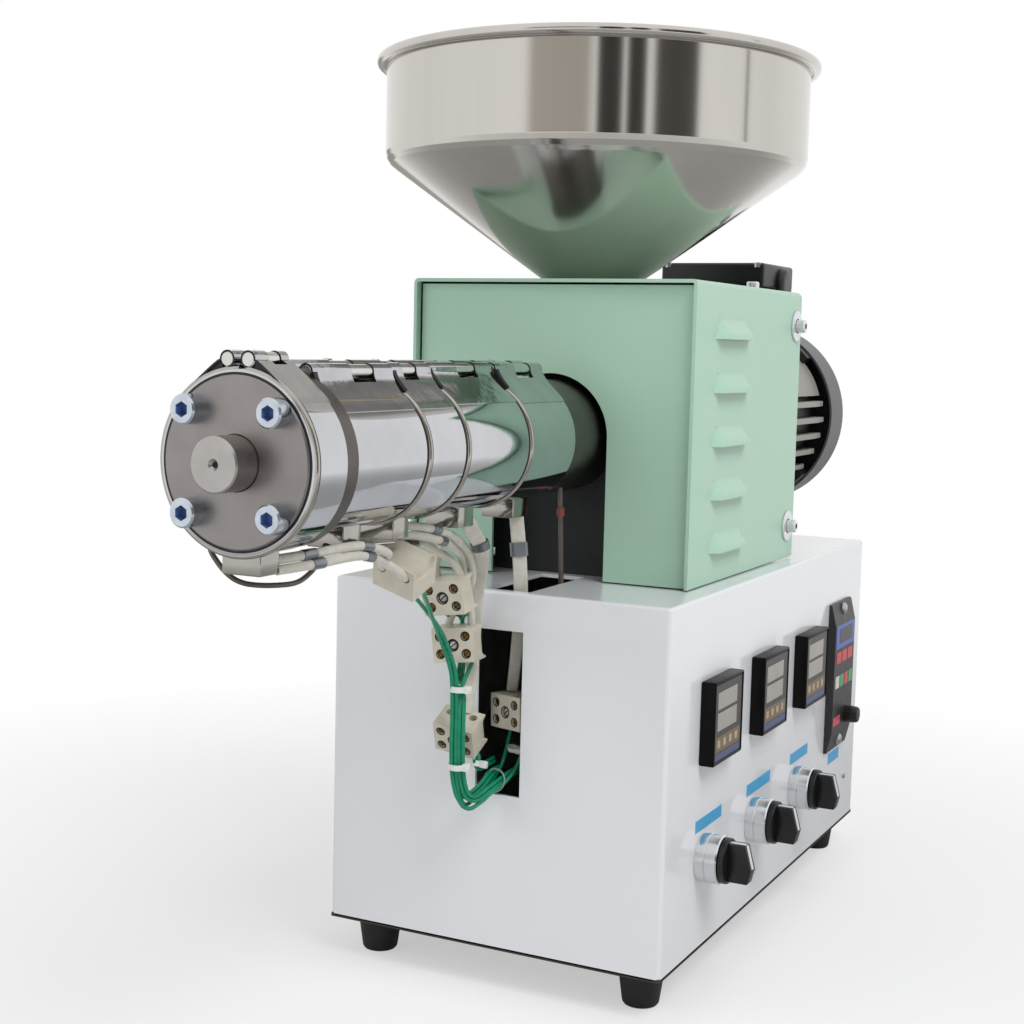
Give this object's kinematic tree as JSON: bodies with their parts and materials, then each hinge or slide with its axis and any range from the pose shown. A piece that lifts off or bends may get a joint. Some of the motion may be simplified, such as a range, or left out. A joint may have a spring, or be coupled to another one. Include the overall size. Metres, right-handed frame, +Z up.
{
  "type": "filament extruder",
  "caption": "Desktop plastic extruder: heater-banded barrel with die and nozzle, round steel hopper, louvred drive guard, finned motor and a sheet-metal base with controls on its side.",
  "frame": {"origin": "centre of the bounding box at the level of the feet", "axes": "+X towards the control side, +Y towards the motor at the rear, +Z up; the barrel points along -Y"},
  "size_m": [0.268, 0.708, 0.533],
  "materials": {
    "white_paint": "gloss powder coat",
    "dark_plate": "dull",
    "foot_rubber": "matt",
    "green_paint": "satin powder coat",
    "drive_iron": "painted dark",
    "barrel_steel": "dark machined",
    "die_steel": "satin ground",
    "zinc": "zinc plated",
    "band_steel": "polished stainless sheet",
    "hopper_steel": "polished stainless sheet",
    "motor_grey": "satin",
    "black_plastic": "satin",
    "panel_plastic": "satin",
    "ring_metal": "turned",
    "porcelain": "matt",
    "glass_sleeve": "woven sleeve",
    "green_wire": "satin",
    "probe_metal": "braided"
  },
  "bodies": {
    "machine": {"housing": "white_paint", "base_plate": "dark_plate", "feet": "foot_rubber", "guard_cover": "green_paint", "guard_front": "green_paint", "gearbox": "drive_iron", "feed_block": "drive_iron", "barrel": "barrel_steel", "screw": "die_steel", "die_plate": "die_steel", "nozzle": "die_steel", "die_screws": "zinc", "heater_band_1": "band_steel", "heater_band_2": "band_steel", "heater_band_3": "band_steel", "heater_band_4": "band_steel", "heater_band_5": "band_steel", "clamp_pins": "zinc", "hopper": "hopper_steel", "motor": "motor_grey", "fan_cowl": "motor_grey", "terminal_box": "black_plastic", "terminal_blocks": "porcelain", "controller_1": "black_plastic", "controller_2": "black_plastic", "controller_3": "black_plastic", "speed_panel": "panel_plastic", "selector_ring_1": "ring_metal", "selector_ring_2": "ring_metal", "selector_ring_3": "ring_metal", "heater_lead_1": "glass_sleeve", "heater_lead_2": "glass_sleeve", "heater_lead_3": "glass_sleeve", "heater_lead_4": "glass_sleeve", "heater_lead_5": "glass_sleeve", "green_wire_1": "green_wire", "green_wire_2": "green_wire", "green_wire_3": "green_wire", "green_wire_4": "green_wire", "probe_front": "probe_metal", "probe_rear": "probe_metal"},
    "selector_knob_1": {"selector_knob_1": "black_plastic"},
    "selector_knob_2": {"selector_knob_2": "black_plastic"},
    "selector_knob_3": {"selector_knob_3": "black_plastic"},
    "speed_knob": {"speed_knob": "black_plastic"}
  },
  "joints": [
    {"name": "selector_1_turn", "type": "hinge", "parent": "machine", "child": "selector_knob_1", "pos_m": [0.1165, -0.0375, 0.0775], "axis": [1, 0, 0], "range_deg": [-45, 45]},
    {"name": "selector_2_turn", "type": "hinge", "parent": "machine", "child": "selector_knob_2", "pos_m": [0.1165, 0.05, 0.0775], "axis": [1, 0, 0], "range_deg": [-45, 45]},
    {"name": "selector_3_turn", "type": "hinge", "parent": "machine", "child": "selector_knob_3", "pos_m": [0.1165, 0.1375, 0.0775], "axis": [1, 0, 0], "range_deg": [-45, 45]},
    {"name": "speed_turn", "type": "hinge", "parent": "machine", "child": "speed_knob", "pos_m": [0.109, 0.239, 0.108], "axis": [1, 0, 0], "range_deg": [-140, 140]}
  ]
}
